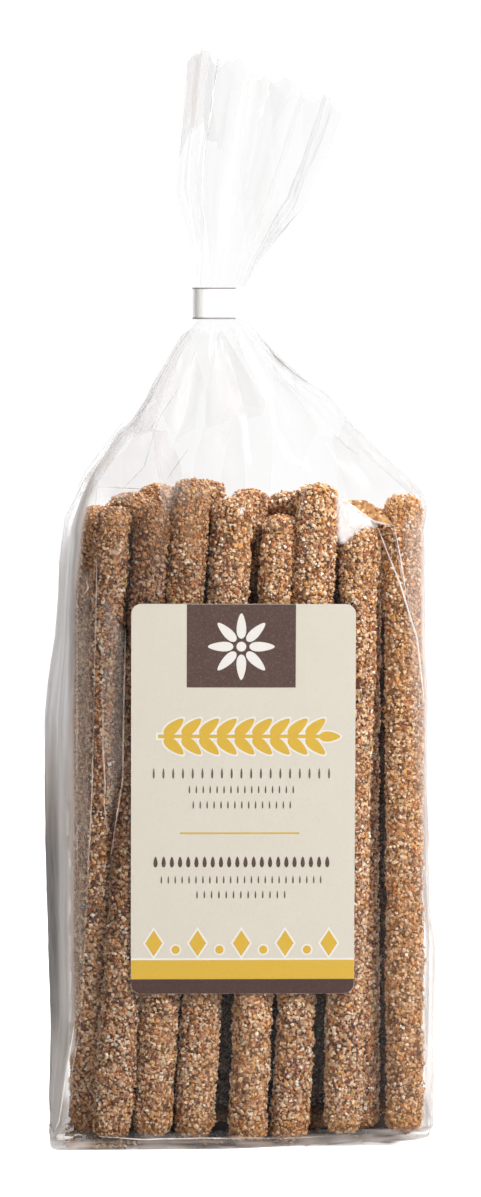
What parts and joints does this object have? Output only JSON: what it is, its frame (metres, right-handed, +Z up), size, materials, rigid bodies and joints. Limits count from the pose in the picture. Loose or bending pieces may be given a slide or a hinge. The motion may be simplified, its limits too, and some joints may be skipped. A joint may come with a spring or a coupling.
{
  "type": "bag of grissini breadsticks",
  "caption": "Tall clear film bag packed with grain-coated breadsticks, gathered in a clip band below a fanned top, with a paper label on its front.",
  "frame": {"origin": "middle of the footprint, on the surface that the bag stands on", "axes": "+Z up towards the gathered top, +X to the right across the wide front, -Y out of the labelled front"},
  "size_m": [0.1182, 0.0428, 0.3371],
  "materials": {
    "breadsticks_in_film": "clear glossy film over golden brown breadsticks coated in coarse grain",
    "band_plastic": "satin white",
    "label_paper": "uncoated cream paper with brown and yellow print"
  },
  "bodies": {
    "root": {"bag": "breadsticks_in_film", "clip_band": "band_plastic", "label": "label_paper"}
  },
  "joints": []
}
